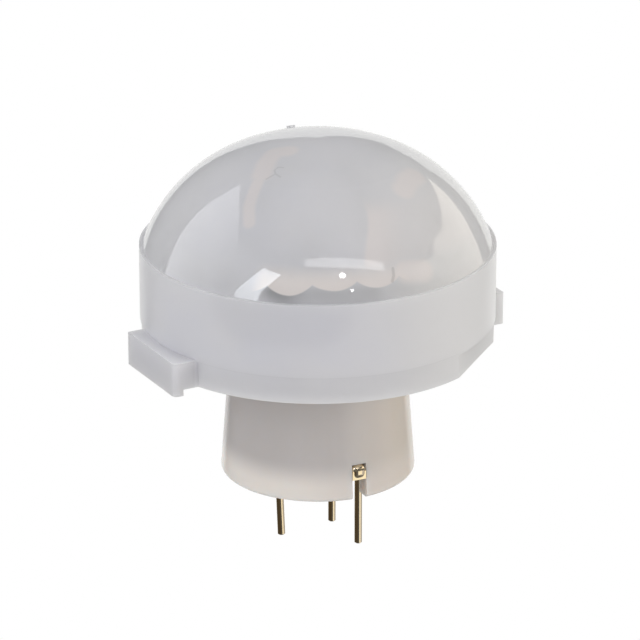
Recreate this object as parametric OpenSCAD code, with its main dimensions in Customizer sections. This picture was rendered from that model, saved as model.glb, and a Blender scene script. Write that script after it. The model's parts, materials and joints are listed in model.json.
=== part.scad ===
// PIR motion sensor: a domed multi-lens on a round holder, with a metal-can sensor in its neck.
// The origin is at the centre of the neck's lower rim, which stands on the board, and +Z points to the dome.

/* [Lens] */
// Outer diameter of the skirt
skirt_d = 20.8; // [20:0.1:26]
// Height of the skirt below the dome
skirt_h = 6; // [5:0.1:8]
// Height of the dome above the skirt
dome_h = 6.37; // [6:0.01:7.5]
// Width of the ledge that the skirt's upper edge leaves round the dome
dome_ledge = 0.2; // [0.1:0.02:0.3]
// Radius of the dome's flatter top, as a multiple of the radius of a ball through its top and its foot
dome_flatness = 1.13; // [1.05:0.01:1.2]
// Angle of the flatter top on each side of the axis
flat_angle = 25; // [20:1:30]
// Wall of the dome along the creases between the lens cells
dome_wall = 0.4; // [0.3:0.05:0.8]
// Wall of the skirt at the holder's disc
skirt_wall = 1; // [0.8:0.05:1.4]
// Width of the step inside the skirt, above the holder's disc
skirt_step = 0.4; // [0.3:0.05:0.7]
// Height of the band below the parting line
band_h = 1.55; // [1.55:0.05:2.5]
// Depth by which the band stands back from the skirt
band_step = 0.08; // [0.05:0.01:0.15]
// Draft angle of the band, which narrows towards the skirt's lower edge
band_draft = 1; // [0.5:0.25:2]
// Distance from the axis to the gate flat on the band
gate_flat_r = 9.84; // [9.75:0.01:10.1]
// Height of the gate flat
gate_flat_h = 1.45; // [1:0.05:1.5]
// Direction of the gate flat, from +X
gate_flat_az = -21; // [-26:0.5:-12]
// Diameter of the small moulding nub on the dome
nub_d = 0.5; // [0.2:0.02:0.6]
// Height of the nub above the dome
nub_h = 0.12; // [0.1:0.02:0.3]

/* [Lens cells] */
// Radius of curvature of each cell's inner face
cell_curve_r = 18; // [14:0.5:24]
// Cells in the lowest row; the rows above it have a half and a quarter as many
low_cells = 24; // [20:4:28]
// Elevation of the lowest row, from the centre of the dome
low_row_elev = 35; // [34.5:0.1:36]
// Elevation of the middle row
middle_row_elev = 47.5; // [46:0.5:49]
// Elevation of the upper row
upper_row_elev = 62; // [60:0.5:64]
// Half angle of the single cell at the top
top_cell_half = 19; // [17:0.5:21]
// Direction of a crease that every row shares, from +X
crease_az = -123; // [-130:1:-115]
// How far a cell reaches past half its pitch, so that neighbours meet in a crease
cell_overlap = 1.15; // [1.1:0.01:1.2]

/* [Locating tabs] */
// Width of a tab's flat outer face
tab_w = 5.9; // [4:0.1:6.5]
// Distance from the axis to a tab's outer face
tab_r = 11.2; // [11.1:0.05:11.8]
// Direction of the first tab, from +X; the second lies opposite
tab_az = 28.3; // [25:0.1:40]
// Distance from a tab's direction to the middle of its width
tab_shift = 0.6; // [0:0.05:0.8]
// Radius of the upright edge at the end that the tab is shifted towards
tab_edge_r = 0.3; // [0.2:0.05:0.6]
// Height of a tab above the skirt's lower edge
tab_h = 1.62; // [1.2:0.02:2.4]
// Depth by which a tab's lip hangs below the skirt
lip_drop = 0.38; // [0.2:0.02:0.6]
// Thickness of the lip
lip_t = 0.6; // [0.5:0.05:1]

/* [Holder] */
// Height of the neck below the skirt
neck_h = 8.1; // [7.2:0.05:9.5]
// Outer diameter of the neck at its lower rim
neck_foot_d = 11.44; // [11.3:0.02:12]
// Outer diameter of the neck under the skirt
neck_top_d = 10.25; // [10.15:0.05:10.9]
// Radius of the rim's outer edge
rim_edge_r = 0.25; // [0.1:0.05:0.35]
// Thickness of the disc that closes the skirt
disc_t = 1.2; // [1:0.05:1.6]
// Height of the snap bead round the disc
bead_h = 0.4; // [0.3:0.05:0.5]
// How far the bead stands out from the disc
bead_out = 0.15; // [0.1:0.01:0.25]
// Height of the notch for the header's index tab, above the lower rim
notch_h = 2.15; // [1.95:0.05:2.4]
// Height of the header's underside above the lower rim
header_z = 1.2; // [1:0.05:1.4]
// Width of each of the nibs that hold the header in the neck
nib_w = 1.4; // [1:0.1:2]
// How far each nib reaches under the header
nib_reach = 0.25; // [0.15:0.01:0.35]
// Height of each nib
nib_h = 0.4; // [0.3:0.05:0.6]

/* [Header and leads] */
// Diameter of the header's flange
flange_d = 9.2; // [8.9:0.02:9.3]
// Thickness of the header's flange
flange_t = 0.5; // [0.3:0.02:0.54]
// Diameter of the platform that carries the circuit block
platform_d = 7.2; // [7:0.05:7.4]
// Height of the platform above the flange
platform_h = 0.5; // [0.5:0.05:0.8]
// Width of the header's index tab
index_w = 0.86; // [0.8:0.01:0.95]
// Distance from the axis to the tip of the index tab
index_r = 5.62; // [5.2:0.02:5.62]
// Direction of the index tab, from +X
index_az = -64.4; // [-68:0.1:-58]
// Diameter of the circle on which the leads stand
lead_circle_d = 5.08; // [5:0.02:5.2]
// Diameter of a lead
lead_d = 0.45; // [0.42:0.01:0.5]
// Diameter of a lead at its upper end, to which it narrows inside the header and the circuit block
lead_end_d = 0.4; // [0.3:0.01:0.41]
// Length of the leads below the lower rim
lead_out = 4.65; // [3:0.05:8]
// Height of the lead tips above the circuit block's base
lead_tip_h = 0.3; // [0.2:0.05:0.4]
// Bevel on each lead's lower end
lead_bevel = 0.05; // [0.03:0.01:0.1]
// Diameter of the glass bead round an insulated lead
glass_d = 1.3; // [1.1:0.05:1.4]
// Angle by which the ground lead leans from the vertical
lean_angle = 5.2; // [2:0.2:8]
// Direction in which the ground lead leans, from +X
lean_az = -64; // [-80:1:-50]
// Radius of the ground lead's bend, at the middle of the wire
bend_r = 1; // [0.6:0.1:1.5]

/* [Can] */
// Outer diameter of the can
can_d = 8.3; // [8.2:0.02:8.4]
// Height of the can above the header's flange
can_h = 6.6; // [6.3:0.05:7]
// Thickness of the can's sheet
can_t = 0.2; // [0.15:0.01:0.25]
// Diameter of the can's welded rim
can_rim_d = 9.1; // [8.9:0.02:9.2]
// Radius of the can's upper edge
can_edge_r = 0.5; // [0.35:0.05:0.7]
// Side of the square window in the can
window_w = 3.8; // [3.4:0.05:4]
// Radius of the window's corners
window_corner_r = 0.4; // [0.2:0.05:0.6]
// Side of the infrared filter behind the window
filter_w = 4.6; // [4.4:0.05:4.8]
// Thickness of the infrared filter
filter_t = 0.5; // [0.4:0.02:0.6]
// Width of the adhesive frame round the filter
frame_w = 0.35; // [0.2:0.05:0.5]

/* [Circuit block] */
// Diameter of the block's base
base_d = 6.8; // [6.6:0.05:7]
// Thickness of the block's base
base_t = 0.8; // [0.7:0.05:1]
// Width of the block's tower
tower_w = 3.9; // [3.7:0.05:4]
// Depth of the block's tower
tower_d = 3; // [2.9:0.05:3.1]
// Height of the gap between the element and the filter
element_gap = 0.45; // [0.35:0.05:0.6]
// Width of the ledge round the recess under the element
ledge_w = 0.5; // [0.4:0.05:0.6]
// Depth of the recess under the element
recess_depth = 0.5; // [0.3:0.05:0.8]
// Width of the pyroelectric element
element_w = 3; // [2.8:0.05:3.2]
// Depth of the pyroelectric element
element_d = 2.5; // [2.4:0.05:2.6]
// Thickness of the pyroelectric element
element_t = 0.1; // [0.08:0.01:0.15]
// Thickness of the adhesive dots under the element
dot_t = 0.06; // [0.04:0.01:0.1]
// Diameter of an adhesive dot
dot_d = 0.24; // [0.16:0.02:0.28]
// Side of each square electrode
electrode_w = 0.8; // [0.6:0.05:0.9]
// Gap between neighbouring electrodes
electrode_pitch_gap = 0.3; // [0.2:0.05:0.4]
// Thickness of an electrode
electrode_t = 0.03; // [0.02:0.01:0.05]
// Width of the detector chip
chip_w = 1.8; // [1.5:0.05:2]
// Height of the detector chip
chip_h = 1.6; // [1.4:0.05:1.8]
// Thickness of the detector chip
chip_t = 0.3; // [0.25:0.01:0.35]
// How far the resin reaches past the chip on each side
resin_margin = 0.3; // [0.2:0.05:0.4]
// Depth of the resin over the chip
resin_cover = 0.35; // [0.3:0.01:0.4]
// Length of a chip capacitor
capacitor_l = 1.6; // [1.4:0.05:1.7]
// Width and height of a chip capacitor
capacitor_w = 0.8; // [0.6:0.05:0.9]
// Length of each end cap of a capacitor
end_cap_l = 0.3; // [0.2:0.02:0.4]
// Diameter of a solder joint at its foot
solder_d = 1; // [0.8:0.05:1]

/* [Clearances] */
// Clearance round the holder's disc and bead
disc_clear = 0.08; // [0.05:0.01:0.12]
// Clearance round the header's flange in the neck
flange_clear = 0.12; // [0.08:0.01:0.15]
// Clearance on each side of the index tab in the neck's notch
index_clear = 0.03; // [0.03:0.01:0.1]
// Clearance round the can in the neck
can_clear = 0.1; // [0.06:0.01:0.15]
// Clearance round a lead where it is sealed or soldered
seal_clear = 0.01; // [0.01:0.005:0.02]

/* [Hidden] */

fine = 128;
plain = 48;
eps = 0.01;

skirt_r = skirt_d / 2;
band_r = skirt_r - band_step;
skirt_z = neck_h;
skirt_top = skirt_z + skirt_h;
dome_top = skirt_top + dome_h;
dome_foot_r = skirt_r - dome_ledge;
dome_r = (dome_foot_r * dome_foot_r + dome_h * dome_h) / (2 * dome_h);
dome_z = dome_top - dome_r;
crease_r = dome_r - dome_wall;
flat_r = dome_flatness * dome_r;
flat_z = dome_top - flat_r;
foot_rise = skirt_top - flat_z;
foot_reach = dome_foot_r * sin(flat_angle) + foot_rise * cos(flat_angle);
shoulder_shift = (pow(flat_r, 2) - pow(dome_foot_r, 2) - pow(foot_rise, 2)) / (2 * (flat_r - foot_reach));
shoulder_r = flat_r - shoulder_shift;
bore_r = skirt_r - skirt_wall;
inner_r = bore_r - skirt_step;
disc_top = skirt_z + disc_t;
bead_z = skirt_z + (disc_t - bead_h) / 2;
parting_z = skirt_z + band_h;
nub_az = 110;
nub_elev = 69;

flange_top = header_z + flange_t;
platform_top = flange_top + platform_h;
lead_r = lead_d / 2;
lead_az = index_az + 45;
notch_w = index_w + 2 * index_clear;
seat_r = flange_d / 2 + flange_clear;
seat_z = flange_top + can_t;
can_bore_r = can_d / 2 + can_clear;
can_in_r = can_d / 2 - can_t;
can_top = flange_top + can_h;
ceiling_z = can_top - can_t;
filter_z = ceiling_z - filter_t;

base_top = platform_top + base_t;
element_top = filter_z - element_gap;
element_z = element_top - element_t;
tower_top = element_z - dot_t;
socket_r = lead_r + seal_clear;
lead_tip_z = base_top + lead_tip_h;
chip_z = (base_top + tower_top) / 2;
capacitor_y = tower_d / 2;
capacitor_z = lead_tip_z + capacitor_w / 2;

plastic = "#e4e5ea";
holder_grey = "#b9b3ae";
gold = "#c9a35a";
glass_green = "#5d6f63";
can_metal = "#c9c9cc";
dark = "#3b3b40";
frame_black = "#2a2a2c";
block_white = "#d9d6c9";
solder_grey = "#b9bcc0";
chip_grey = "#5a5a66";
ceramic_tan = "#a98d6a";
crystal = "#cfd3c4";
dot_grey = "#8f9094";
electrode_grey = "#77787c";

// Directions of the leads in the header's own frame: the supply, the output and the ground
function lead_turn(i) = 90 * i;
// Half the angle between neighbours in a row, widened so that the cells meet in a crease
function cell_half(count, elev) = cell_overlap * asin(sin(180 / count) * cos(elev));
// Distance from the centre of the dome to the centre of a cell's inner face
function cell_centre(half) =
    crease_r * cos(half) + sqrt(pow(cell_curve_r, 2) - pow(crease_r * sin(half), 2));

// Puts its children on the header's own axes
module on_header() {
    rotate([0, 0, lead_az]) children();
}

// Puts its children at one of the leads
module at_lead(i) {
    on_header() rotate([0, 0, lead_turn(i)]) translate([lead_circle_d / 2, 0, 0]) children();
}

module ring(outer, inner, height, z) {
    translate([0, 0, z]) difference() {
        cylinder(r = outer, h = height, $fn = fine);
        translate([0, 0, -eps]) cylinder(r = inner, h = height + 2 * eps, $fn = fine);
    }
}

module slab(size_x, size_y, height, z) {
    translate([-size_x / 2, -size_y / 2, z]) cube([size_x, size_y, height]);
}

// The block that a tab is made from, with an upright round edge at its far outer corner
module tab_block(height, z) {
    tab_end = tab_shift + tab_w / 2;
    reach = tab_r - inner_r;
    translate([inner_r, tab_end - tab_w, z]) cube([reach, tab_w - tab_edge_r, height]);
    translate([inner_r, tab_end - 2 * tab_edge_r, z]) cube([reach - tab_edge_r, 2 * tab_edge_r, height]);
    translate([tab_r - tab_edge_r, tab_end - tab_edge_r, z])
        cylinder(r = tab_edge_r, h = height, $fn = plain);
}

// One locating tab, which grows out of the skirt and hooks down at its outer face
module locating_tab() {
    tab_block(tab_h, skirt_z);
    intersection() {
        tab_block(tab_h + lip_drop, skirt_z - lip_drop);
        translate([tab_r - lip_t, -skirt_r, skirt_z - lip_drop - eps])
            cube([lip_t + eps, skirt_d, tab_h + lip_drop + 2 * eps]);
    }
}

// One lens cell, as the ball that bulges into the hollow of the dome, turned so that its side bulges in
module cell(half, elev, az) {
    translate([0, 0, dome_z]) rotate([0, 90 - elev, az]) translate([0, 0, cell_centre(half)])
        rotate([90, 0, 0]) sphere(r = cell_curve_r, $fn = fine);
}

module cell_row(count, elev) {
    pitch = 360 / count;
    for (i = [0 : count - 1]) cell(cell_half(count, elev), elev, crease_az + (i + 0.5) * pitch);
}

// The hollow of the dome before the cells are left standing in it
module plain_hollow() {
    intersection() {
        translate([0, 0, dome_z]) sphere(r = crease_r, $fn = fine);
        translate([0, 0, skirt_top]) cylinder(r = skirt_r, h = dome_r, $fn = fine);
    }
}

// The hollow of the dome, with the cells left standing in it one row after another
module dome_hollow() {
    difference() {
        difference() {
            difference() {
                difference() {
                    plain_hollow();
                    cell_row(low_cells, low_row_elev);
                }
                cell_row(low_cells / 2, middle_row_elev);
            }
            cell_row(low_cells / 4, upper_row_elev);
        }
        cell(top_cell_half, 90, 0);
    }
}

// The dome in section, a flatter arc over the top that runs on smoothly into a sharper one down to the foot
module dome_profile() {
    far_x = 2 * flat_r * sin(flat_angle);
    far_z = flat_z + 2 * flat_r * cos(flat_angle);
    intersection() {
        union() {
            intersection() {
                translate([0, flat_z]) circle(r = flat_r, $fn = fine);
                polygon([[0, flat_z], [far_x, far_z], [0, far_z]]);
            }
            intersection() {
                translate([shoulder_shift * sin(flat_angle), flat_z + shoulder_shift * cos(flat_angle)])
                    circle(r = shoulder_r, $fn = fine);
                polygon([[0, flat_z], [far_x, far_z], [2 * flat_r, flat_z]]);
            }
        }
        translate([0, skirt_top]) square([skirt_r, 2 * dome_h]);
    }
}

module lens_outside() {
    translate([0, 0, parting_z]) cylinder(r = skirt_r, h = skirt_top - parting_z, $fn = fine);
    translate([0, 0, skirt_z])
        cylinder(r1 = band_r - band_h * tan(band_draft), r2 = band_r, h = band_h, $fn = fine);
    rotate_extrude($fn = fine) dome_profile();
    translate([0, 0, flat_z]) rotate([0, 90 - nub_elev, nub_az]) translate([0, 0, flat_r - dome_wall / 2])
        cylinder(d = nub_d, h = dome_wall / 2 + nub_h, $fn = plain);
    for (turn = [0, 180]) rotate([0, 0, tab_az + turn]) locating_tab();
}

module lens() {
    color(plastic) difference() {
        lens_outside();
        translate([0, 0, skirt_z - lip_drop - eps])
            cylinder(r = bore_r, h = disc_t + lip_drop + eps, $fn = fine);
        translate([0, 0, bead_z - disc_clear])
            cylinder(r = bore_r + bead_out, h = bead_h + 2 * disc_clear, $fn = fine);
        translate([0, 0, disc_top - eps])
            cylinder(r = inner_r, h = skirt_top - disc_top + 2 * eps, $fn = fine);
        dome_hollow();
        rotate([0, 0, gate_flat_az]) translate([gate_flat_r, -skirt_r, skirt_z - eps])
            cube([skirt_r, 2 * skirt_r, gate_flat_h + eps]);
    }
}

// The neck in section, from its bore to its flared outer face, with a round edge at the lower rim
module neck_profile() {
    foot_r = neck_foot_d / 2;
    arc_steps = 6;
    polygon(concat(
        [[can_bore_r, seat_z], [can_bore_r, disc_top]],
        [[neck_top_d / 2, disc_top], [neck_top_d / 2, skirt_z]],
        [for (i = [0 : arc_steps]) let (a = 90 * i / arc_steps)
            [foot_r - rim_edge_r + rim_edge_r * cos(a), rim_edge_r - rim_edge_r * sin(a)]],
        [[seat_r, 0], [seat_r, seat_z]]));
}

module holder() {
    color(holder_grey) {
        difference() {
            union() {
                rotate_extrude($fn = fine) neck_profile();
                ring(bore_r - disc_clear, neck_top_d / 2 - eps, disc_t, skirt_z);
                ring(bore_r + bead_out - disc_clear, bore_r - disc_clear - eps, bead_h, bead_z);
            }
            rotate([0, 0, index_az]) translate([flange_d / 4, -notch_w / 2, -eps])
                cube([neck_foot_d, notch_w, notch_h + eps]);
        }
        for (i = [0 : 2]) rotate([0, 0, index_az + 60 + 120 * i]) nib();
    }
}

// A nib on the wall of the neck, under the header's flange
module nib() {
    intersection() {
        ring(seat_r + eps, flange_d / 2 - nib_reach, nib_h, header_z - nib_h);
        translate([0, -nib_w / 2, 0]) cube([neck_foot_d, nib_w, header_z]);
    }
}

module header() {
    color(gold) difference() {
        union() {
            translate([0, 0, header_z]) cylinder(d = flange_d, h = flange_t, $fn = fine);
            translate([0, 0, flange_top]) cylinder(d = platform_d, h = platform_h, $fn = fine);
            rotate([0, 0, index_az]) index_tab();
        }
        for (i = [0 : 1]) at_lead(i) through_header(glass_d / 2);
        at_lead(2) through_header(socket_r);
    }
}

// A round hole through the header
module through_header(radius) {
    translate([0, 0, header_z - eps])
        cylinder(r = radius, h = platform_top - header_z + 2 * eps, $fn = plain);
}

// The index tab, with its end round like the flange
module index_tab() {
    intersection() {
        translate([flange_d / 4, -index_w / 2, header_z]) cube([index_r, index_w, flange_t]);
        translate([0, 0, header_z - eps]) cylinder(r = index_r, h = flange_t + 2 * eps, $fn = fine);
    }
}

// A plated wire that hangs from z = 0, with a bevel at its lower end
module hanging_wire(length) {
    translate([0, 0, lead_bevel - length]) cylinder(r = lead_r, h = length - lead_bevel, $fn = plain);
    translate([0, 0, -length]) cylinder(r1 = lead_r - lead_bevel, r2 = lead_r, h = lead_bevel, $fn = plain);
}

// The upper end of a lead, which isn't plated, through the header and the circuit block's base
module lead_tip() {
    translate([0, 0, header_z])
        cylinder(d1 = lead_d, d2 = lead_end_d, h = lead_tip_z - header_z, $fn = plain);
}

module straight_lead(i) {
    color(gold) at_lead(i) {
        lead_tip();
        translate([0, 0, header_z]) hanging_wire(header_z + lead_out);
    }
}

module supply_lead() {
    straight_lead(0);
}

module output_lead() {
    straight_lead(1);
}

// The ground lead, bent just under the header
module ground_lead() {
    bend_drop = bend_r * sin(lean_angle);
    hanging = (header_z + lead_out - bend_drop) / cos(lean_angle);
    color(gold) at_lead(2) rotate([0, 0, lean_az - lead_az - lead_turn(2)]) {
        lead_tip();
        translate([bend_r, 0, header_z]) rotate([-90, 0, 180]) rotate_extrude(angle = lean_angle, $fn = fine)
            translate([bend_r, 0]) circle(r = lead_r, $fn = plain);
        translate([bend_r * (1 - cos(lean_angle)), 0, header_z - bend_drop]) rotate([0, -lean_angle, 0])
            hanging_wire(hanging);
    }
}

// The glass bead that seals an insulated lead into the header
module lead_glass(i) {
    color(glass_green) at_lead(i)
        ring(glass_d / 2 - seal_clear, socket_r, platform_top - header_z, header_z);
}

module supply_lead_glass() {
    lead_glass(0);
}

module output_lead_glass() {
    lead_glass(1);
}

// A closed cup with a round upper edge
module can_shell(radius, height, edge) {
    cylinder(r = radius, h = height - edge, $fn = fine);
    cylinder(r = radius - edge, h = height, $fn = fine);
    translate([0, 0, height - edge]) rotate_extrude($fn = fine) translate([radius - edge, 0, 0])
        intersection() {
            circle(r = edge, $fn = plain);
            square(edge);
        }
}

module window_opening() {
    corner = window_w / 2 - window_corner_r;
    slab(window_w, window_w - 2 * window_corner_r, 3 * can_t, ceiling_z - can_t);
    slab(window_w - 2 * window_corner_r, window_w, 3 * can_t, ceiling_z - can_t);
    for (x = [-corner, corner], y = [-corner, corner])
        translate([x, y, ceiling_z - can_t]) cylinder(r = window_corner_r, h = 3 * can_t, $fn = plain);
}

module can() {
    color(can_metal) difference() {
        translate([0, 0, flange_top]) union() {
            can_shell(can_d / 2, can_h, can_edge_r);
            cylinder(d = can_rim_d, h = can_t, $fn = fine);
        }
        translate([0, 0, flange_top - eps]) can_shell(can_in_r, can_h - can_t + eps, can_edge_r - can_t);
        on_header() window_opening();
    }
}

module infrared_filter() {
    color(dark) on_header() slab(filter_w, filter_w, filter_t, filter_z);
}

// The adhesive that holds the filter under the flat part of the can's ceiling
module filter_adhesive() {
    outer = filter_w + 2 * frame_w;
    color(frame_black) on_header() difference() {
        intersection() {
            slab(outer, outer, filter_t, filter_z);
            translate([0, 0, filter_z]) cylinder(r = can_d / 2 - can_edge_r, h = filter_t, $fn = fine);
        }
        slab(filter_w, filter_w, filter_t + 2 * eps, filter_z - eps);
    }
}

module circuit_block() {
    color(block_white) on_header() difference() {
        union() {
            translate([0, 0, platform_top]) cylinder(d = base_d, h = base_t, $fn = fine);
            slab(tower_w, tower_d, tower_top - base_top + eps, base_top - eps);
        }
        for (i = [0 : 2]) rotate([0, 0, lead_turn(i)]) translate([lead_circle_d / 2, 0, platform_top - eps])
            cylinder(r = socket_r, h = base_t + 2 * eps, $fn = plain);
        slab(tower_w - 2 * ledge_w, tower_d - 2 * ledge_w, recess_depth + eps, tower_top - recess_depth);
        translate([-chip_w / 2, -tower_d / 2 - eps, chip_z - chip_h / 2])
            cube([chip_w, chip_t + eps, chip_h]);
    }
}

// The solder that joins each lead to the circuit block's base
module lead_solder() {
    color(solder_grey) for (i = [0 : 2]) at_lead(i) difference() {
        translate([0, 0, base_top])
            cylinder(r1 = solder_d / 2, r2 = socket_r + lead_bevel, h = lead_tip_h, $fn = plain);
        translate([0, 0, base_top - eps]) cylinder(r = socket_r, h = lead_tip_h + 2 * eps, $fn = plain);
    }
}

module detector_chip() {
    color(chip_grey) on_header()
        translate([-chip_w / 2, -tower_d / 2, chip_z - chip_h / 2]) cube([chip_w, chip_t, chip_h]);
}

// The cap of resin over the chip, a slice of a ball
module chip_resin() {
    resin_w = chip_w + 2 * resin_margin;
    resin_h = chip_h + 2 * resin_margin;
    resin_r = norm([resin_w, resin_h]) / 2;
    ball_r = (resin_r * resin_r + resin_cover * resin_cover) / (2 * resin_cover);
    color(dark) on_header() translate([0, -tower_d / 2 - resin_cover, chip_z]) intersection() {
        translate([0, ball_r, 0]) sphere(r = ball_r, $fn = 2 * fine);
        translate([-resin_w / 2, 0, -resin_h / 2]) cube([resin_w, resin_cover, resin_h]);
    }
}

// A chip capacitor on the back of the tower, with its two end caps
module chip_capacitor(z) {
    on_header() translate([0, capacitor_y, z]) {
        color(ceramic_tan) translate([end_cap_l - capacitor_l / 2, 0, 0])
            cube([capacitor_l - 2 * end_cap_l, capacitor_w, capacitor_w]);
        color(solder_grey) for (x = [-capacitor_l / 2, capacitor_l / 2 - end_cap_l])
            translate([x, 0, 0]) cube([end_cap_l, capacitor_w, capacitor_w]);
    }
}

module supply_capacitor() {
    chip_capacitor(capacitor_z);
}

module filter_capacitor() {
    chip_capacitor(capacitor_z + 1.5 * capacitor_w);
}

module pyro_element() {
    color(crystal) on_header() slab(element_w, element_d, element_t, element_z);
}

// The four dots of adhesive that carry the element on the tower's ledge
module element_adhesive() {
    x = (element_w - ledge_w) / 2;
    y = (element_d + tower_d - 2 * ledge_w) / 4;
    color(dot_grey) on_header() for (sx = [-x, x], sy = [-y, y])
        translate([sx, sy, tower_top]) cylinder(d = dot_d, h = dot_t, $fn = plain);
}

module element_electrodes() {
    offset_xy = (electrode_w + electrode_pitch_gap) / 2;
    color(electrode_grey) on_header() for (x = [-offset_xy, offset_xy], y = [-offset_xy, offset_xy])
        translate([x, y, 0]) slab(electrode_w, electrode_w, electrode_t, element_top);
}

lens();
holder();
header();
supply_lead();
output_lead();
ground_lead();
supply_lead_glass();
output_lead_glass();
can();
infrared_filter();
filter_adhesive();
circuit_block();
lead_solder();
detector_chip();
chip_resin();
supply_capacitor();
filter_capacitor();
pyro_element();
element_adhesive();
element_electrodes();
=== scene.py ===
"""The looks of a PIR motion sensor: its materials, a white studio and the camera of the photograph."""

import json
import math

import bmesh
import bpy
from mathutils import Matrix, Vector


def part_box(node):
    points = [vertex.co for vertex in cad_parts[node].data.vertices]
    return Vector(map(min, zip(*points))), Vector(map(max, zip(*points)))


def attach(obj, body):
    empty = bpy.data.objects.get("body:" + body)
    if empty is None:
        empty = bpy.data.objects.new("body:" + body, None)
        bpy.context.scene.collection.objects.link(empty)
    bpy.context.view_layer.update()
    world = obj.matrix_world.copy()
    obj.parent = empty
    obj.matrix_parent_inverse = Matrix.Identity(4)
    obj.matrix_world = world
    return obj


MM = 0.001
WHITE = (1.0, 1.0, 1.0)

# The longest way between two unit vectors
FURTHEST = 2.0

# The parts of a noise's range that ramps stretch over all of theirs, for soft and for firmer clouds. The
# clouds and grains below say how fine a noise is, in changes per metre.
SOFT_SPAN = (0.3, 0.7)
FIRM_SPAN = (0.35, 0.65)

# The camera, fitted to the outlines in the photograph
PHOTO_PX = 640
SENSOR_MM = 36.0
TILT = math.radians(21.28)
DISTANCE = 0.2778
PX_PER_M = 17060.0
REFERENCE = Vector((0.0, 0.0, 8.1 * MM))
AIM_RIGHT = 0.13 * MM
AIM_UP = 1.02 * MM

# The table, just under the tips of the leads
FLOOR_GAP = 0.014 * MM
FLOOR_SIZE = 1.6
FLOOR_GREYS = ((0.9, 0.9, 0.9), (0.87, 0.87, 0.87))
FLOOR_CLOUDS = 40.0

# How bright the world is to the object, as a light and as a reflection
WORLD_LIGHT = 0.56
WORLD_MIRRORED = 0.15

# Places on the lens and the header that no box of a node gives, as the frame has them
DOME_CENTRE = (0.0, 0.0, 9.12 * MM)
SKIRT_TOP = 14.1 * MM
DOME_BEGIN = (SKIRT_TOP - 0.05 * MM, SKIRT_TOP + 0.02 * MM)
PARTING_Z = 9.65 * MM
SKIRT_FOOT = 8.1 * MM
TAB_FOOT_R = 10.42 * MM
HEADER_TURN = math.radians(-19.4)
INDEX_AZ = math.radians(-64.4)

# The lowest row of lens cells as the photograph shows it through the milk: flatter at its outline than
# the cells themselves, and lifted towards its right, between two azimuths in degrees. The overlap is how
# much wider a cell is than its part of the row, and the edge is how soft its outline is.
ROW_COUNT = 24
ROW_ELEVATION = math.radians(37.6)
ROW_CREASE_AZ = math.radians(-121.8)
ROW_OVERLAP = 1.58
ROW_EDGE = 0.06
ROW_LIFT = math.radians(1.5)
ROW_LIFT_AZ = (-100.0, -86.0)

# How milky the lens is: the dome, the bare wall just under the first cell and under the next ones, between
# two azimuths in degrees, and the bare wall further down
DOME_MILK = 0.95
BARE_MILK = (0.55, 0.82)
BARE_MILK_AZ = (-103.0, -93.0)
LOW_MILK = 0.85

# The front part of the bare wall and of the warm cells: middle and half width in radians, and the share
# of the half width that shows in full; then the elevations in radians between which each fades out
CLEAR_FRONT = (math.radians(-88.5), math.radians(22.0), 0.75)
CLEAR_TOP = (0.57, 0.5)
WARM_FRONT = (math.radians(-85.0), math.radians(28.0), 0.8)
WARM_TOP = (0.66, 0.54)

# The warm band on the middle cells, in degrees: the elevations between which its line leans, and by how
# many radians, the azimuths where it begins, fades and stops, and the elevations of its top and foot
LEAN_ELEVATION = (36.0, 54.0)
LEAN = (math.radians(7.5), math.radians(1.0))
BAND_BEGIN = (-67.0, -64.5)
BAND_FADE = (-46.0, -64.0)
BAND_FADE_SHARE = (0.3, 0.95)
BAND_STOP = (-12.0, -25.0)
BAND_TOP = (58.0, 50.0)
BAND_FOOT = (33.0, 38.0)

# The painted shadow line along the parting step: how far from its middle it begins and where it is full,
# and how dark it is. Then the painted shade on the foot of the skirt below it: how soft its upper edge is,
# and how dark it is between two x.
PARTING_HALF = (0.08 * MM, 0.02 * MM)
PARTING_PAINTED_SHADOW = 0.24
FOOT_EDGE = 0.04 * MM
FOOT_X = (1.0 * MM, 7.0 * MM)
FOOT_PAINTED_DARK = (0.08, 0.05)

# Lines and spots on the lens, as directions from the dome's centre, with half their width in radians, and
# the part of that which shows in full
LINE_FULL = 0.4
WARM_ARCS = (
    (((-136, 78), (-147, 75), (-139, 70), (-131, 65)), 0.075),
    (((-129, 62), (-126, 57), (-124, 53), (-120, 48)), 0.045),
    (((-40, 56.5), (-31, 58.5), (-22, 58.5)), 0.085),
    (((-59, 33), (-52, 32)), 0.08),
)
HAIR_MARK = (
    (((-125.2, 63.8), (-123.2, 65.5), (-121.9, 66.6), (-116.9, 65.7)), 0.0075),
    (((-121.9, 66.6), (-125.1, 68.0), (-124.5, 69.6), (-120.0, 69.9)), 0.0065),
)
DARK_MARK = (((-63.4, 34.4), (-63.7, 32.4), (-64.6, 30.9)), 0.011)
SHADE_SPOT = (((-112, 25), (-92, 25)), 0.3)
NUB_SPOT = (((110, 66.2), (110, 66.8)), 0.04)

# The milk: its colours, one of them a painted warm light on its right side, the x between which that comes
# in, how rough it is, and how far light spreads in it
MILK_COOL = (0.69, 0.688, 0.73)
MILK_PLAIN = (0.71, 0.703, 0.728)
MILK_SIDE_PAINTED_LIGHT = (0.71, 0.703, 0.7)
MILK_WARM = (0.84, 0.8, 0.785)
MILK_SIDE_X = (1.0 * MM, 8.0 * MM)
MILK_CLOUDS = 180.0
MILK_ROUGHNESS = 0.45
MILK_REACH = 2.2 * MM

# The tints over the milk and their shares, and the colour of what shows through the clearer wall
TINT_WARM = (0.88, 0.79, 0.75)
TINT_DARK = (0.2, 0.2, 0.2)
WARM_SHARE = 0.4
DARK_SHARE = 0.25
HAIR_DARK = 0.6
BARE_CLEAR = (0.8, 0.8, 0.8)

# What is left of the milk's brightness under the painted shade in the tabs, in the spot of the skirt and at
# its foot
TAB_FADE = 0.15 * MM
TAB_SHADE = 0.89
SKIRT_SHADE = 0.95
FOOT_PAINTED_SHADE = 0.94

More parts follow.
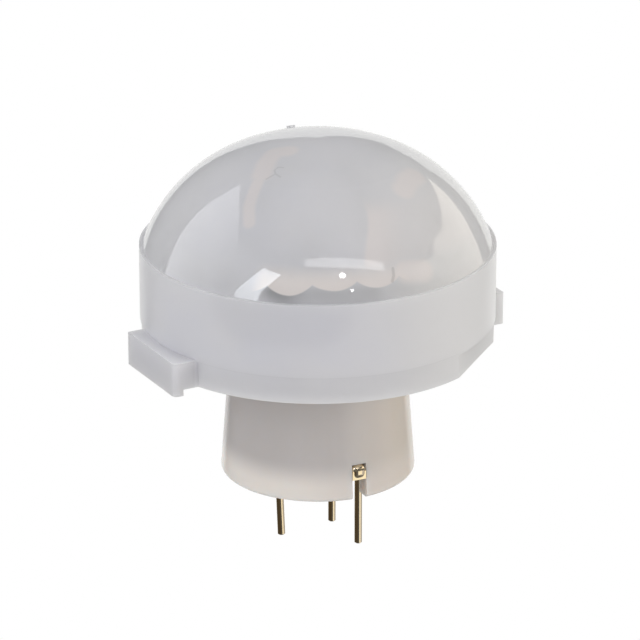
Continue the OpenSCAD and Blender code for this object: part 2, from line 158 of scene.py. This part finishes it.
# The lens plastic's skin: its roughness on the dome and on the skirt, and how much that varies, the
# depth of its dents, and the share of its gloss that is left on the nub
DOME_ROUGHNESS = 0.03
SKIRT_ROUGHNESS = 0.3
SKIN_UNEVEN = 0.02
SKIN_GRAIN = 900.0
SKIN_DENT = 1e-6
DENT_GRAIN = 300.0
SKIN_IOR = 1.65
NUB_GLOSS = 0.1

# The holder plastic: the wall's two shades, the painted warm light on its right side and the x between
# which that comes in, how rough it is, and how much and how far light spreads in it, red the furthest
HOLDER_WALL = ((0.59, 0.56, 0.55), (0.575, 0.545, 0.53))
HOLDER_CLOUDS = 300.0
HOLDER_SIDE_PAINTED_LIGHT = (0.66, 0.6, 0.53)
HOLDER_SIDE_X = (1.0 * MM, 5.5 * MM)
HOLDER_ROUGHNESS = (0.16, 0.2)
HOLDER_SPREAD = 0.8
HOLDER_REACH = 1.0 * MM
HOLDER_REACHES = (1.0, 0.85, 0.75)

# The painted light on the holder's rim, as light shining through the wall: its colour, where it begins
# above and is full below the flange's top, and how much of it is left between two x
HOLDER_RIM_PAINTED_LIGHT = (0.87, 0.82, 0.775)
RIM_ABOVE = 0.8 * MM
RIM_BELOW = 0.9 * MM
RIM_X = (-2.5 * MM, 4.5 * MM)
RIM_SHARE = (1.0, 0.3)

# The capacitors' ceramic, from their middle to the tinned ends, and both colours with their shades
CERAMIC_HALF = 0.5 * MM
CERAMIC_TANS = ((0.42, 0.31, 0.19), (0.36, 0.26, 0.16))
CERAMIC_TINS = ((0.62, 0.63, 0.65), (0.5, 0.51, 0.53))
CERAMIC_CLOUDS = 3000.0
CERAMIC_ROUGHNESS = (0.3, 0.45)
CERAMIC_GRAIN = 6000.0

# The other finishes: a colour, the shade it drifts to, a roughness, and what else sets one apart
FINISH_CLOUDS = 350.0
PLAIN_FINISHES = {
    "gold_plate": ((0.9, 0.78, 0.57), (0.86, 0.72, 0.5), 0.12,
                   {"metallic": 1.0, "spread": 0.02, "grain": 3000.0, "depth": 2e-7}),
    "seal_glass": ((0.12, 0.17, 0.14), (0.09, 0.13, 0.11), 0.12, {}),
    "can_steel": ((0.86, 0.86, 0.87), (0.78, 0.78, 0.8), 0.4, {"metallic": 0.3}),
    "filter_silicon": ((0.10, 0.09, 0.13), (0.13, 0.11, 0.15), 0.12, {"metallic": 0.9}),
    "black_adhesive": ((0.035, 0.035, 0.04), (0.05, 0.05, 0.055), 0.5, {}),
    "block_plastic": ((0.7, 0.67, 0.57), (0.66, 0.62, 0.53), 0.5, {}),
    "solder": ((0.62, 0.63, 0.65), (0.5, 0.51, 0.54), 0.28, {"metallic": 1.0}),
    "chip_silicon": ((0.16, 0.16, 0.2), (0.2, 0.2, 0.26), 0.25, {"metallic": 0.4}),
    "black_resin": ((0.03, 0.03, 0.035), (0.045, 0.045, 0.05), 0.2, {}),
    "element_ceramic": ((0.6, 0.62, 0.54), (0.55, 0.57, 0.5), 0.18, {}),
    "silver_adhesive": ((0.4, 0.4, 0.42), (0.5, 0.5, 0.52), 0.45, {"metallic": 0.5}),
    "electrode_metal": ((0.36, 0.36, 0.38), (0.42, 0.41, 0.4), 0.3, {"metallic": 1.0}),
}

# The plating that stands rounded over the index tab, in the notch, a little below the flange's top
PLATING_BOX = (0.82 * MM, 0.9 * MM, 0.92 * MM)
PLATING_RADIUS = 5.3 * MM
PLATING_DROP = 0.04 * MM
PLATING_ROUND = 0.37 * MM
PLATING_STEPS = 7


class Shader:
    """One node tree, with short calls that add nodes to it."""

    def __init__(self, tree):
        self.tree = tree
        tree.nodes.clear()

    def node(self, kind, inputs=(), **settings):
        made = self.tree.nodes.new(kind)
        for key, value in settings.items():
            setattr(made, key, value)
        for key, value in dict(inputs).items():
            self.put(made.inputs[key], value)
        return made

    def put(self, socket, value):
        """A link where value is a socket, and a constant on the socket itself otherwise."""
        if isinstance(value, bpy.types.NodeSocket):
            self.tree.links.new(value, socket)
        elif socket.type == "RGBA" and len(value) == 3:
            socket.default_value = (*value, 1.0)
        else:
            socket.default_value = value

    def math(self, operation, *values, clamp=False):
        made = self.node("ShaderNodeMath", operation=operation, use_clamp=clamp)
        for socket, value in zip(made.inputs, values):
            self.put(socket, value)
        return made.outputs[0]

    def vector(self, operation, *values, output=0):
        """A vector operation, whose output 0 is a vector and whose output 1 is a number."""
        made = self.node("ShaderNodeVectorMath", operation=operation)
        for socket, value in zip(made.inputs, values):
            self.put(socket, value)
        return made.outputs[output]

    def scaled(self, vector, factor):
        return self.node("ShaderNodeVectorMath", {0: vector, "Scale": factor}, operation="SCALE").outputs[0]

    def product(self, first, *others):
        for other in others:
            first = self.math("MULTIPLY", first, other)
        return first

    def ramp(self, value, low, high, to_low=0.0, to_high=1.0):
        """value from low..high turned smoothly into to_low..to_high, and held there outside."""
        made = self.node("ShaderNodeMapRange", interpolation_type="SMOOTHSTEP")
        for socket, number in zip(made.inputs, (value, low, high, to_low, to_high)):
            self.put(socket, number)
        return made.outputs[0]

    def sweep(self, angle, low, high, to_low=0.0, to_high=1.0):
        """A ramp over an angle, whose ends low and high are in degrees."""
        return self.ramp(angle, math.radians(low), math.radians(high), to_low, to_high)

    def mix(self, factor, first, second):
        """Two colours mixed by factor."""
        made = self.node("ShaderNodeMix", data_type="RGBA")
        self.put(made.inputs[0], factor)
        self.put(made.inputs[6], first)
        self.put(made.inputs[7], second)
        return made.outputs[2]

    def blend(self, factor, first, second):
        """Two finishes mixed by factor."""
        return self.node("ShaderNodeMixShader", {0: factor, 1: first, 2: second}).outputs[0]

    def diffuse(self, colour):
        return self.node("ShaderNodeBsdfDiffuse", {"Color": colour}).outputs[0]

    def noise(self, scale, detail=3.0):
        made = self.node("ShaderNodeTexNoise", {"Scale": scale, "Detail": detail})
        self.put(made.inputs["Vector"], self.position())
        return made.outputs["Fac"]

    def position(self):
        """The point on the piece, in metres in the row frame."""
        return self.node("ShaderNodeTexCoord").outputs["Object"]

    def split(self, vector):
        """The x, y and z of a vector."""
        return self.node("ShaderNodeSeparateXYZ", {"Vector": vector}).outputs[:3]

    def bump(self, height, distance):
        return self.node("ShaderNodeBump", {"Height": height, "Distance": distance}).outputs["Normal"]

    def output(self, surface):
        self.node("ShaderNodeOutputMaterial", {"Surface": surface})


def new_material(name):
    """An empty material and the Shader that fills it."""
    material = bpy.data.materials.new(name)
    material.use_nodes = True
    return material, Shader(material.node_tree)


def plain_finish(name, colour, shade, roughness, spread=0.06, grain=4000.0, depth=4e-6, metallic=0.0):
    """A finish whose colour drifts slightly towards shade, with a fine grain in its roughness and bump."""
    material, s = new_material(name)
    drift = s.noise(FINISH_CLOUDS, detail=4.0)
    fine = s.noise(grain, detail=2.0)
    surface = s.node("ShaderNodeBsdfPrincipled", {
        "Base Color": s.mix(s.ramp(drift, *FIRM_SPAN), colour, shade),
        "Metallic": metallic,
        "Roughness": s.ramp(fine, *SOFT_SPAN, roughness - spread, roughness + spread),
        "Normal": s.bump(fine, depth),
    })
    s.output(surface.outputs[0])
    return material


def towards(azimuth, elevation):
    """The unit vector in a direction, in degrees from +X and above the horizon."""
    a, e = math.radians(azimuth), math.radians(elevation)
    return Vector((math.cos(a) * math.cos(e), math.sin(a) * math.cos(e), math.sin(e)))


def share_along(s, offset, way):
    """0 at the start of way and 1 at its end, for a point at this offset from the start."""
    return s.vector("DOT_PRODUCT", offset, way / way.length_squared, output=1)


def line_share(s, unit, path, half):
    """1 on the line through the directions of path, and 0 from half beside it."""
    points = [towards(*direction) for direction in path]
    nearest = FURTHEST
    for start, end in zip(points, points[1:]):
        offset = s.vector("SUBTRACT", unit, start)
        held = s.math("ADD", share_along(s, offset, end - start), 0.0, clamp=True)
        gap = s.vector("DISTANCE", offset, s.scaled(end - start, held), output=1)
        nearest = s.math("MINIMUM", nearest, gap)
    return s.ramp(nearest, half, LINE_FULL * half)


def front_share(s, azimuth, middle, half, full):
    """1 up to the share full of half beside the middle azimuth, and 0 from half beside it."""
    aside = s.math("ABSOLUTE", s.math("SUBTRACT", azimuth, middle))
    return s.ramp(aside, half, full * half)


def row_depth(s, azimuth, elevation):
    """The depth in the nearest cell of the lowest row: 1 at its middle, 0 at its outline, less outside."""
    pitch = 2 * math.pi / ROW_COUNT
    half = ROW_OVERLAP * math.asin(math.sin(pitch / 2) * math.cos(ROW_ELEVATION))
    lifted = s.math("SUBTRACT", elevation, s.sweep(azimuth, *ROW_LIFT_AZ, 0.0, ROW_LIFT))
    turn = s.math("DIVIDE", s.math("SUBTRACT", azimuth, ROW_CREASE_AZ), pitch)
    aside = s.math("MULTIPLY", s.math("SUBTRACT", s.math("FRACT", turn), 0.5), pitch)
    level = s.math("MULTIPLY", s.math("SINE", lifted), math.sin(ROW_ELEVATION))
    across = s.math("MULTIPLY", s.math("COSINE", lifted), math.cos(ROW_ELEVATION))
    near = s.math("ADD", level, s.math("MULTIPLY", across, s.math("COSINE", aside)))
    share = s.math("DIVIDE", s.math("ARCCOSINE", near), half)
    return s.math("SUBTRACT", 1.0, s.math("MULTIPLY", share, share))


class LensPoint:
    """Where a point of the lens lies: what the parts of its finish are worked out from."""

    def __init__(self, s):
        self.x, self.y, self.height = s.split(s.position())
        self.unit = s.vector("NORMALIZE", s.vector("SUBTRACT", s.position(), DOME_CENTRE))
        x, y, z = s.split(self.unit)
        self.azimuth = s.math("ARCTAN2", y, x)
        self.elevation = s.math("ARCSINE", z)
        self.in_dome = s.ramp(self.height, *DOME_BEGIN)
        self.depth = row_depth(s, self.azimuth, self.elevation)


def milkiness(s, at):
    """How milky the lens is: less in the bare wall under the lowest cells, seen from the front."""
    below = s.ramp(at.depth, ROW_EDGE, -ROW_EDGE)
    front = front_share(s, at.azimuth, *CLEAR_FRONT)
    bare = s.product(below, s.ramp(at.elevation, *CLEAR_TOP), front, at.in_dome)
    least = s.sweep(at.azimuth, *BARE_MILK_AZ, *BARE_MILK)
    clearer = s.math("SUBTRACT", DOME_MILK, s.ramp(at.depth, -1.0, 0.0, LOW_MILK, least))
    milk = s.math("SUBTRACT", DOME_MILK, s.math("MULTIPLY", bare, clearer))
    return s.math("MAXIMUM", milk, s.math("SUBTRACT", 1.0, at.in_dome))


def warm_cells(s, at):
    """The lowest cells at the front, from their outline up to where they blend with the next row."""
    inside = s.ramp(at.depth, -ROW_EDGE, ROW_EDGE)
    front = front_share(s, at.azimuth, *WARM_FRONT)
    return s.product(inside, s.ramp(at.elevation, *WARM_TOP), front, at.in_dome)


def warm_tint(s, at):
    """The warm arcs of the middle cells, and the warm band that ends on one cell's outline."""
    arcs = 0.0
    for path, half in WARM_ARCS:
        arcs = s.math("MAXIMUM", arcs, line_share(s, at.unit, path, half))
    leaned = s.math("ADD", at.azimuth, s.sweep(at.elevation, *LEAN_ELEVATION, *LEAN))
    begins = s.sweep(leaned, *BAND_BEGIN)
    fades = s.sweep(leaned, *BAND_FADE, *BAND_FADE_SHARE)
    top = s.sweep(at.elevation, *BAND_TOP)
    foot = s.sweep(at.elevation, *BAND_FOOT)
    stops = s.sweep(at.azimuth, *BAND_STOP)
    band = s.product(begins, fades, top, foot, stops)
    return s.math("MULTIPLY", s.math("MAXIMUM", arcs, band), at.in_dome)


def marks_and_painted_shade(s, at):
    """The hairline, the dark mark beside the cells, and the painted shade of the parting step's line and
    the foot below it.
    """
    # painted shade on the skirt's foot below the parting step, darker on the left
    below = s.ramp(at.height, PARTING_Z + FOOT_EDGE, PARTING_Z - FOOT_EDGE)
    foot = s.math("MULTIPLY", below, s.ramp(at.x, *FOOT_X, *FOOT_PAINTED_DARK))
    # a painted shadow line along the parting step
    off_parting = s.math("ABSOLUTE", s.math("SUBTRACT", at.height, PARTING_Z))
    dark = s.math("MAXIMUM", foot, s.ramp(off_parting, *PARTING_HALF, 0.0, PARTING_PAINTED_SHADOW))
    for path, half in HAIR_MARK:
        dark = s.math("MAXIMUM", dark, s.math("MULTIPLY", line_share(s, at.unit, path, half), HAIR_DARK))
    return s.math("MAXIMUM", dark, line_share(s, at.unit, *DARK_MARK))


def lens_colour(s, at, cells):
    """The milk's colour, warm in the lowest cells at the front, with painted warm light on the right and
    painted shade in the tabs, a skirt spot and the foot.
    """
    milky = s.mix(s.ramp(s.noise(MILK_CLOUDS), *SOFT_SPAN), MILK_COOL, MILK_PLAIN)
    # painted warm light on the right side
    milky = s.mix(s.ramp(at.x, *MILK_SIDE_X), milky, MILK_SIDE_PAINTED_LIGHT)
    squares = s.math("ADD", s.math("MULTIPLY", at.x, at.x), s.math("MULTIPLY", at.y, at.y))
    # painted shade in the tabs
    tab = s.ramp(s.math("SQRT", squares), TAB_FOOT_R, TAB_FOOT_R + TAB_FADE, 1.0, TAB_SHADE)
    # a painted shade spot on the skirt, under the dome
    on_skirt = s.math("SUBTRACT", line_share(s, at.unit, *SHADE_SPOT), at.in_dome)
    shade = s.ramp(on_skirt, 0.0, 1.0, 1.0, SKIRT_SHADE)
    # painted shade towards the skirt's foot
    foot = s.ramp(at.height, SKIRT_FOOT, PARTING_Z, FOOT_PAINTED_SHADE, 1.0)
    return s.scaled(s.mix(cells, milky, MILK_WARM), s.product(tab, shade, foot))


def lens_body(s, at):
    """The scattering milk, with the warm tint and then the dark marks and painted shade over it."""
    cells = warm_cells(s, at)
    milk = s.node("ShaderNodeBsdfPrincipled", {
        "Base Color": lens_colour(s, at, cells),
        "Roughness": MILK_ROUGHNESS,
        "Specular IOR Level": 0.0,
        "Subsurface Weight": 1.0,
        "Subsurface Radius": (1.0, 1.0, 1.0),
        "Subsurface Scale": MILK_REACH,
    })
    warmth = s.math("MULTIPLY", s.math("MAXIMUM", warm_tint(s, at), cells), WARM_SHARE)
    warmed = s.blend(warmth, milk.outputs[0], s.diffuse(TINT_WARM))
    # the dark marks and the painted shade
    darkness = s.math("MULTIPLY", marks_and_painted_shade(s, at), DARK_SHARE)
    return s.blend(darkness, warmed, s.diffuse(TINT_DARK))


def lens_skin(s, at, inside):
    """The skin over what is inside: a mirror on the dome, matt on the skirt and the nub."""
    nub = line_share(s, at.unit, *NUB_SPOT)
    matt = s.math("MAXIMUM", s.math("SUBTRACT", 1.0, at.in_dome), nub)
    uneven = s.ramp(s.noise(SKIN_GRAIN, detail=2.0), *SOFT_SPAN, 0.0, SKIN_UNEVEN)
    gloss = s.node("ShaderNodeBsdfGlossy", {
        "Color": WHITE,
        "Roughness": s.math("ADD", s.ramp(matt, 0.0, 1.0, DOME_ROUGHNESS, SKIRT_ROUGHNESS), uneven),
        "Normal": s.bump(s.noise(DENT_GRAIN, detail=2.0), SKIN_DENT),
    })
    fresnel = s.node("ShaderNodeFresnel", {"IOR": SKIN_IOR}).outputs[0]
    mirrored = s.math("MULTIPLY", fresnel, s.ramp(nub, 0.0, 1.0, 1.0, NUB_GLOSS))
    return s.blend(mirrored, inside, gloss.outputs[0])


def lens_plastic():
    """Milky polyethylene over lens cells: warm at some outlines, clearer in the bare wall under them."""
    material, s = new_material("lens_plastic")
    at = LensPoint(s)
    clear = s.node("ShaderNodeBsdfTransparent", {"Color": BARE_CLEAR}).outputs[0]
    inside = s.blend(milkiness(s, at), clear, lens_body(s, at))
    s.output(lens_skin(s, at, inside))
    return material


def flange_top():
    """The top of the header's flange, which the can stands on."""
    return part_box("can")[0][2]


def holder_plastic():
    """Warm grey plastic, with painted light at the rim, where no metal stands behind the wall, and painted
    warm light on the right.
    """
    material, s = new_material("holder_plastic")
    x, y, height = s.split(s.position())
    # painted light at the rim, less of it to the right
    painted_rim_light = s.ramp(height, flange_top() + RIM_ABOVE, flange_top() - RIM_BELOW)
    painted_rim_light = s.math("MULTIPLY", painted_rim_light, s.ramp(x, *RIM_X, *RIM_SHARE))
    drift = s.ramp(s.noise(HOLDER_CLOUDS), *SOFT_SPAN)
    wall = s.mix(drift, *HOLDER_WALL)
    # painted warm light on the right side
    wall = s.mix(s.ramp(x, *HOLDER_SIDE_X), wall, HOLDER_SIDE_PAINTED_LIGHT)
    surface = s.node("ShaderNodeBsdfPrincipled", {
        "Base Color": s.mix(painted_rim_light, wall, HOLDER_RIM_PAINTED_LIGHT),
        "Roughness": s.ramp(drift, 0.0, 1.0, *HOLDER_ROUGHNESS),
        "Subsurface Weight": HOLDER_SPREAD,
        "Subsurface Radius": HOLDER_REACHES,
        "Subsurface Scale": HOLDER_REACH,
    })
    s.output(surface.outputs[0])
    return material


def capacitor_ceramic():
    """Tan ceramic with tinned ends, told apart along the capacitor's length."""
    material, s = new_material("capacitor_ceramic")
    turned = s.node("ShaderNodeVectorRotate", {"Angle": -HEADER_TURN}, rotation_type="Z_AXIS")
    s.put(turned.inputs["Vector"], s.position())
    along = s.math("ABSOLUTE", s.split(turned.outputs[0])[0])
    tinned = s.math("GREATER_THAN", along, CERAMIC_HALF)
    drift = s.ramp(s.noise(CERAMIC_CLOUDS), *FIRM_SPAN)
    surface = s.node("ShaderNodeBsdfPrincipled", {
        "Base Color": s.mix(tinned, s.mix(drift, *CERAMIC_TANS), s.mix(drift, *CERAMIC_TINS)),
        "Metallic": tinned,
        "Roughness": s.ramp(s.noise(CERAMIC_GRAIN), *SOFT_SPAN, *CERAMIC_ROUGHNESS),
    })
    s.output(surface.outputs[0])
    return material


def make_materials():
    """One finish for each material slot of the record."""
    finishes = {
        "lens_plastic": lens_plastic(),
        "holder_plastic": holder_plastic(),
        "capacitor_ceramic": capacitor_ceramic(),
    }
    for name, (colour, shade, roughness, more) in PLAIN_FINISHES.items():
        finishes[name] = plain_finish(name, colour, shade, roughness, **more)
    return finishes


def dress(frame):
    """Gives each CAD node the finish of its slot."""
    finishes = make_materials()
    for subpart in frame["record"]["subparts"]:
        node = frame["nodes"][subpart["node"]]
        for slot in node.material_slots:
            slot.material = finishes[subpart["material_slot"]]


def make_plating(frame):
    """The thick gold over the index tab: a block with rounded edges that fills the notch."""
    shape = bmesh.new()
    bmesh.ops.create_cube(shape, size=1.0)
    bmesh.ops.scale(shape, vec=PLATING_BOX, verts=shape.verts)
    bmesh.ops.bevel(shape, geom=shape.edges[:], offset=PLATING_ROUND, segments=PLATING_STEPS, profile=0.5,
                    affect="EDGES")
    place = (PLATING_RADIUS, 0.0, flange_top() - PLATING_DROP)
    bmesh.ops.translate(shape, vec=place, verts=shape.verts)
    turn = Matrix.Rotation(INDEX_AZ, 3, "Z")
    bmesh.ops.rotate(shape, cent=(0.0, 0.0, 0.0), matrix=turn, verts=shape.verts)
    for face in shape.faces:
        face.smooth = True
    mesh = bpy.data.meshes.new("index_tab_plating")
    shape.to_mesh(mesh)
    shape.free()
    mesh.materials.append(frame["nodes"]["header"].material_slots[0].material)
    plating = bpy.data.objects.new("index_tab_plating", mesh)
    bpy.context.scene.collection.objects.link(plating)
    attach(plating, "root")


def glow(name, colour, strength, fade):
    """A glowing finish; fade is the point where it ends and the point where it is full."""
    material, s = new_material(name)
    if fade:
        start, end = fade
        offset = s.vector("SUBTRACT", s.position(), start)
        strength = s.ramp(share_along(s, offset, end - start), 0.0, 1.0, 0.0, strength)
    s.output(s.node("ShaderNodeEmission", {"Color": colour, "Strength": strength}).outputs[0])
    return material


def card(name, corners, strength, fade=None, colour=WHITE, distance=0.6):
    """A glowing card whose corners lie in the given directions, seen only in reflections."""
    def place(direction):
        return Vector(DOME_CENTRE) + towards(*direction) * distance
    mesh = bpy.data.meshes.new(name)
    points = [tuple(place(corner)) for corner in corners]
    mesh.from_pydata(points, [], [tuple(range(len(points)))])
    mesh.materials.append(glow(name, colour, strength, fade and [place(end) for end in fade]))
    made = bpy.data.objects.new(name, mesh)
    bpy.context.scene.collection.objects.link(made)
    made.visible_camera = False
    made.visible_diffuse = False
    made.visible_shadow = False


def lamp_card(name, azimuth, elevation, half, strength):
    """A small square card round one direction."""
    corners = [(azimuth + x * half, elevation + y * half) for x, y in ((-1, 0), (0, 1), (1, 0), (0, -1))]
    card(name, corners, strength)


def make_dome_cards():
    """The studio's softboxes, lamps and walls, as the dome mirrors them."""
    card("key_card", [(-145, 19), (-132, 40), (-118, 38), (-131, 17)],
         strength=5.4, fade=[(-160, -8), (-129, 30)], colour=(0.9, 0.945, 1.0), distance=0.45)
    card("strip_card_left", [(-102, 52), (-65, 51), (-68, 44), (-101, 46)], strength=2.5)
    card("strip_card_right", [(-65, 51), (-36, 40), (-39, 35), (-68, 44)], strength=2.5)
    lamp_card("upper_lamp_card", -71, 39, half=2.4, strength=30.0)
    lamp_card("lower_lamp_card", -67, 28, half=1.2, strength=20.0)
    card("left_card", [(128, 45), (138, 40), (148, 30), (156, 17), (160, 5), (163, -8), (-150, 8),
                       (-130, 15), (-117, 27), (-119, 38), (-138, 44), (-166, 46), (165, 53)],
         strength=1.64, fade=[(-97, 34), (158, 20)], colour=(0.95, 0.955, 1.0), distance=0.7)
    card("right_card", [(61, 21), (51, 13), (45, 7), (41, -1), (38, -10), (25, 2), (9, 7), (-4, 11),
                        (-16, 14), (-27, 16), (-41, 17), (-38, 23), (-23, 31), (-10, 28), (2, 25),
                        (11, 30), (23, 27), (47, 25)],
         strength=1.54, fade=[(-55, 35), (10, 8)], colour=(1.0, 0.93, 0.82), distance=0.7)
    card("back_card", [(124, -24), (121, -9), (115, -7), (112, -3), (109, 0), (106, 3), (103, 8), (99, 12),
                       (95, 17), (90, 18), (85, 13), (81, 10), (75, 13), (68, 13), (66, 6), (63, 0),
                       (60, -4), (50, -20), (50, -45), (124, -45)],
         strength=0.94, colour=(1.0, 1.0, 0.98), distance=0.8)


def make_low_cards():
    """What lies below the horizon, as the skirt's foot, the leads and the gold in the notch mirror it."""
    card("low_right_card", [(-80, -12), (-40, -12), (0, -12), (12, -12), (12, -40), (0, -40), (-40, -40),
                            (-80, -40)],
         strength=0.7, fade=[(-80, -26), (-30, -26)], colour=(0.97, 0.94, 1.0), distance=0.5)
    card("far_right_card", [(12, -12), (50, -12), (50, -40), (12, -40)],
         strength=0.28, colour=(1.0, 0.97, 0.93), distance=0.5)
    card("low_left_card", [(-92, -12), (-92, -40), (-140, -40), (180, -40), (130, -40), (130, -12),
                           (180, -12), (-140, -12)],
         strength=0.072, colour=(1.0, 0.78, 0.51), distance=0.5)
    card("tab_card", [(-58, -12), (-24, -9), (-22, -30), (-50, -33)],
         strength=1.15, colour=(1.0, 0.97, 0.85), distance=0.4)


def area(name, direction, distance, size, power, colour):
    """A soft light that no reflection shows."""
    data = bpy.data.lights.new(name, "AREA")
    data.shape = "DISK"
    data.size = size
    data.energy = power
    data.color = colour
    light = bpy.data.objects.new(name, data)
    light.location = Vector(DOME_CENTRE) + towards(*direction) * distance
    light.rotation_euler = (-towards(*direction)).to_track_quat("-Z", "Y").to_euler()
    light.visible_glossy = False
    bpy.context.scene.collection.objects.link(light)


def make_lights():
    """The soft lights of the studio: from the left, from the right and from above."""
    area("key", (-143, 22), distance=0.5, size=0.3, power=0.58, colour=(0.95, 0.97, 1.0))
    area("fill", (-28, 8), distance=0.5, size=0.4, power=0.97, colour=(1.0, 0.96, 0.91))
    area("top", (0, 85), distance=0.6, size=0.5, power=0.48, colour=(0.96, 0.97, 1.0))


def make_world():
    """White to the camera, pale grey to the object and dim where the object mirrors it."""
    world = bpy.data.worlds.new("studio")
    bpy.context.scene.world = world
    world.use_nodes = True
    s = Shader(world.node_tree)
    path = s.node("ShaderNodeLightPath").outputs
    seen = s.math("MAXIMUM", path["Is Camera Ray"], path["Is Transmission Ray"])
    lit = s.node("ShaderNodeMix", {0: path["Is Glossy Ray"], 2: WORLD_LIGHT, 3: WORLD_MIRRORED}).outputs[0]
    strength = s.node("ShaderNodeMix", {0: seen, 2: lit, 3: 1.0}).outputs[0]
    background = s.node("ShaderNodeBackground", {"Color": WHITE, "Strength": strength})
    s.node("ShaderNodeOutputWorld", {"Surface": background.outputs[0]})


def make_floor():
    """A white table under the lead tips, without a shadow to the camera."""
    material, s = new_material("table")
    path = s.node("ShaderNodeLightPath").outputs
    seen = s.math("MAXIMUM", path["Is Camera Ray"], path["Is Transmission Ray"])
    grain = s.ramp(s.noise(FLOOR_CLOUDS), *SOFT_SPAN)
    plain = s.diffuse(s.mix(grain, *FLOOR_GREYS))
    white = s.node("ShaderNodeEmission", {"Color": WHITE, "Strength": 1.0}).outputs[0]
    s.output(s.blend(seen, plain, white))
    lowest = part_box("ground_lead")[0][2] - FLOOR_GAP
    bpy.ops.mesh.primitive_plane_add(size=FLOOR_SIZE, location=(0.0, 0.0, lowest))
    floor = bpy.context.object
    floor.name = "table"
    floor.data.materials.append(material)
    floor.visible_glossy = False


def make_camera():
    """The camera of the photograph, which looks down at the object by the tilt."""
    scene = bpy.context.scene
    back = Vector((0.0, -math.cos(TILT), math.sin(TILT)))
    up = Vector((0.0, math.sin(TILT), math.cos(TILT)))
    data = bpy.data.cameras.new("camera")
    data.sensor_width = SENSOR_MM
    data.lens = PX_PER_M * DISTANCE * SENSOR_MM / PHOTO_PX
    data.clip_start = 0.01
    camera = bpy.data.objects.new("camera", data)
    camera.location = REFERENCE + Vector((AIM_RIGHT, 0.0, 0.0)) + up * AIM_UP + back * DISTANCE
    camera.rotation_euler = (math.pi / 2 - TILT, 0.0, 0.0)
    scene.collection.objects.link(camera)
    scene.camera = camera


with open("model.json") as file:
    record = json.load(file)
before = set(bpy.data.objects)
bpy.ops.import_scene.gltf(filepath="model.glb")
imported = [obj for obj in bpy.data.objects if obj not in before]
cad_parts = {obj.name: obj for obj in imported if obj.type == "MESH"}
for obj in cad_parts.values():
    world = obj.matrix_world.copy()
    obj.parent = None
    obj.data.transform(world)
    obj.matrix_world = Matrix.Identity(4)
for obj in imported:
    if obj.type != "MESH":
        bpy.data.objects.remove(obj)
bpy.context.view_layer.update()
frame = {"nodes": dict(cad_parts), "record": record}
bpy.context.scene.view_settings.view_transform = "Standard"
make_camera()
make_world()
make_floor()
make_lights()
make_dome_cards()
make_low_cards()
dress(frame)
make_plating(frame)
